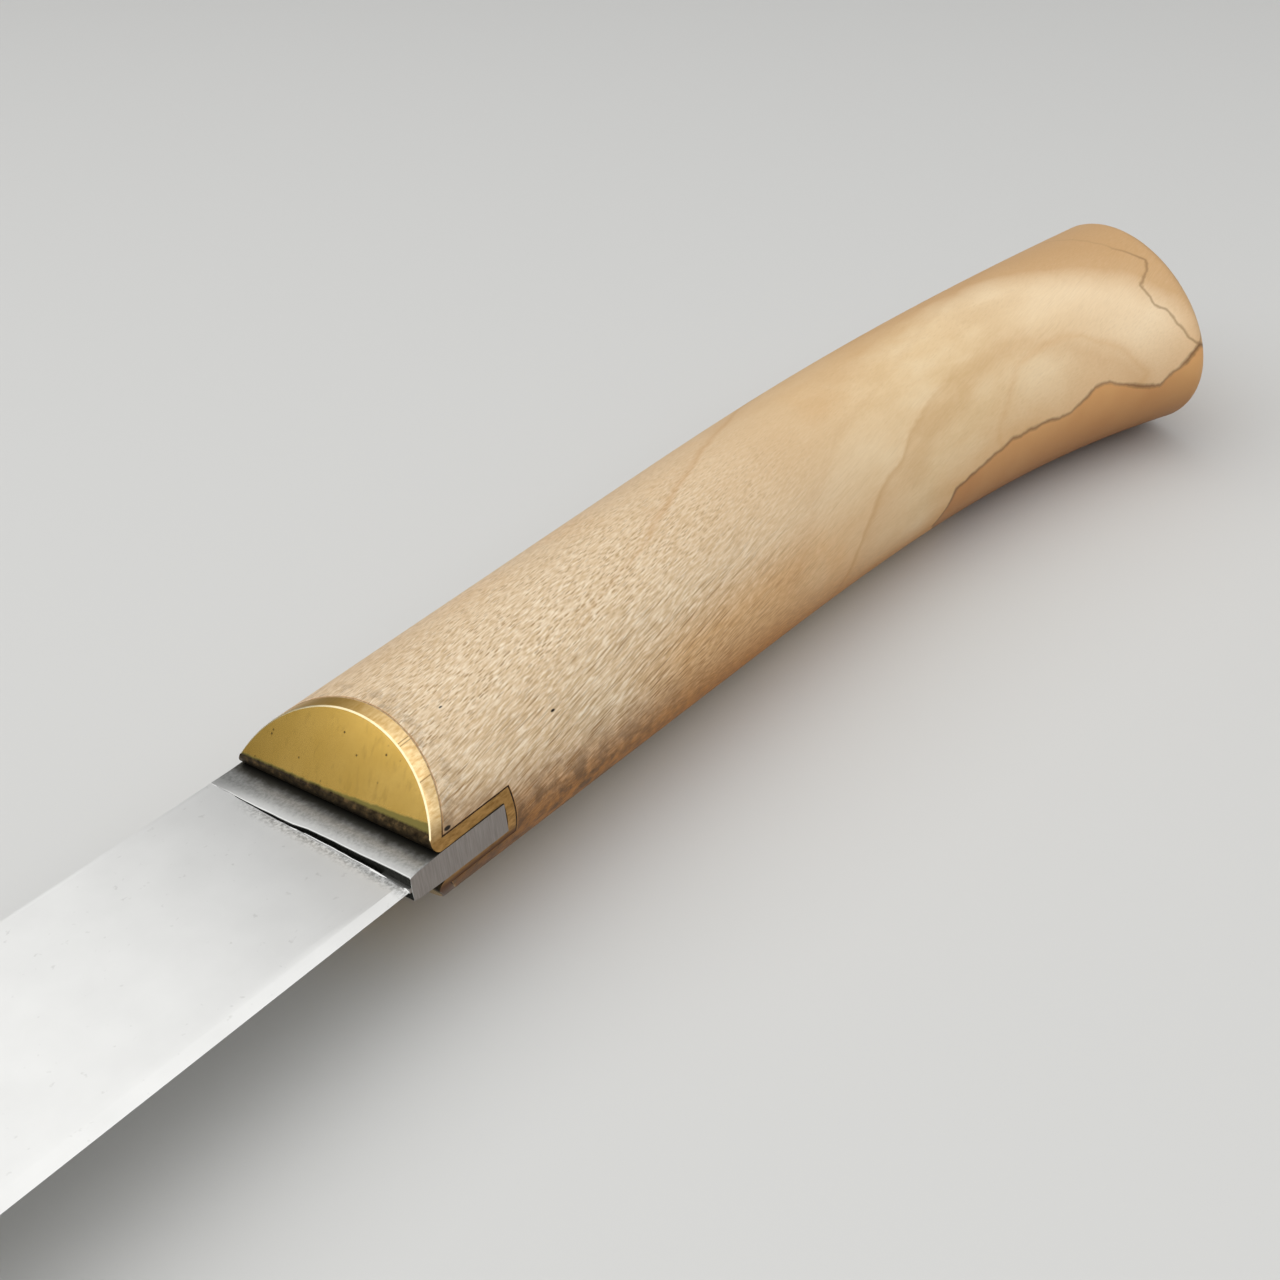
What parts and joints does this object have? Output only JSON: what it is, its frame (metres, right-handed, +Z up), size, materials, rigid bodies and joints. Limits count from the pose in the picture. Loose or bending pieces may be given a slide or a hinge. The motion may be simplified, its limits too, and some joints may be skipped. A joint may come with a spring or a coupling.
{
  "type": "fixed-blade knife",
  "caption": "Fixed-blade knife with a flat-ground drop-point steel blade, folded half-moon brass bolster and one-piece curved oval wooden handle over a bedded stick tang.",
  "frame": {"origin": "on the surface the knife lies on, under the middle of its box", "axes": "+X towards the butt, +Y towards the spine, +Z up, out of the blade's left flat"},
  "size_m": [0.2448, 0.0362, 0.0231],
  "materials": {
    "blade_steel": "satin, flat ground",
    "bolster_brass": "hand filed and rubbed",
    "handle_wood": "oiled, pale spalted wood",
    "bedding_epoxy": "cured epoxy"
  },
  "bodies": {
    "root": {"blade": "blade_steel", "left_bolster_cheek": "bolster_brass", "right_bolster_cheek": "bolster_brass", "rear_tang_plate": "bolster_brass", "handle": "handle_wood", "tang_bedding": "bedding_epoxy"}
  },
  "joints": []
}
